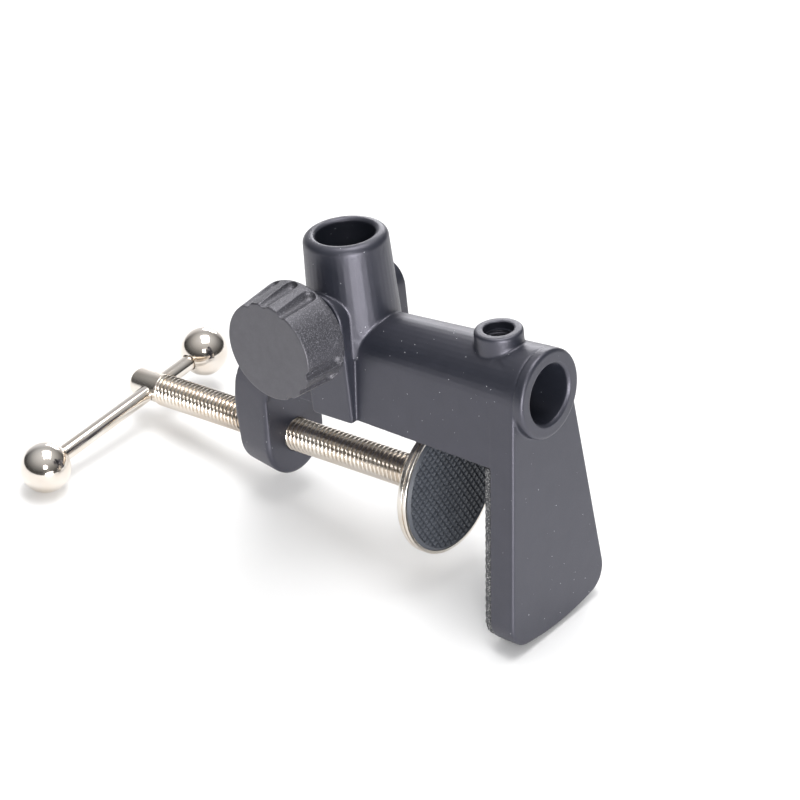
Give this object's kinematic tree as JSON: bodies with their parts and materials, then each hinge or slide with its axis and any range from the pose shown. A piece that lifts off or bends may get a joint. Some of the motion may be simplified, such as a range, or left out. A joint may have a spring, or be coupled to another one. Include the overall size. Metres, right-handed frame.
{
  "type": "super clamp",
  "caption": "Screw clamp with a cast C-shaped body, two spigot sockets, a lock knob, a swivelling pressure disc and a sliding tommy bar.",
  "frame": {"origin": "on the clamp screw's axis, on the rubber face of the fixed jaw", "axes": "+X along the clamp screw towards the fixed jaw, +Z along the upright socket, lock knob towards -Y"},
  "size_m": [0.1575, 0.0827, 0.1029],
  "materials": {
    "casting_paint": "satin black powder coat on cast aluminium",
    "facing_rubber": "granular cork rubber sheet",
    "screw_nickel": "bright nickel plate",
    "bar_nickel": "bright nickel plate",
    "disc_nickel": "turned and nickel plated",
    "disc_pad_rubber": "moulded rubber with a diamond pattern",
    "spring_steel": "oiled spring wire",
    "knob_plastic": "moulded black plastic with a fine grain",
    "bolt_zinc": "zinc plated steel",
    "pad_nylon": "natural nylon"
  },
  "bodies": {
    "casting": {"clamp_body": "casting_paint", "jaw_facing": "facing_rubber"},
    "ring": {"snap_ring": "spring_steel"},
    "screw": {"clamp_screw": "screw_nickel"},
    "handle": {"tommy_bar": "bar_nickel", "knob_side_ball": "bar_nickel", "far_side_ball": "bar_nickel"},
    "disc": {"disc_cup": "disc_nickel", "disc_hub": "disc_nickel", "disc_rubber": "disc_pad_rubber"},
    "pad": {"lock_pad": "pad_nylon"},
    "knob": {"knob_grip": "knob_plastic", "lock_bolt": "bolt_zinc"}
  },
  "joints": [
    {"name": "screw_feed", "type": "slide", "parent": "casting", "child": "ring", "axis": [1, 0, 0], "range_m": [-0.0435, 0.0218]},
    {"name": "screw_turn", "type": "hinge", "parent": "ring", "child": "screw", "pos_m": [-0.0317, 0, 0], "axis": [1, 0, 0], "range_deg": [-10440, 5220]},
    {"name": "disc_tilt", "type": "hinge", "parent": "ring", "child": "disc", "pos_m": [-0.0317, 0, 0], "axis": [0, 0, 1], "range_deg": [-6, 6]},
    {"name": "handle_slide", "type": "slide", "parent": "screw", "child": "handle", "axis": [0, 0.9963, 0.0854], "range_m": [-0.0096, 0.0344]},
    {"name": "lock_feed", "type": "slide", "parent": "casting", "child": "pad", "axis": [0, 1, 0], "range_m": [-0.003, 0.005]},
    {"name": "lock_turn", "type": "hinge", "parent": "pad", "child": "knob", "pos_m": [-0.0526, -0.0205, 0.05], "axis": [0, 1, 0], "range_deg": [-864, 1440]}
  ],
  "couplings": [
    {"joint": "screw_feed", "follows": "screw_turn", "m_per_rad": 0.00023873},
    {"joint": "lock_feed", "follows": "lock_turn", "m_per_rad": 0.00019894}
  ]
}
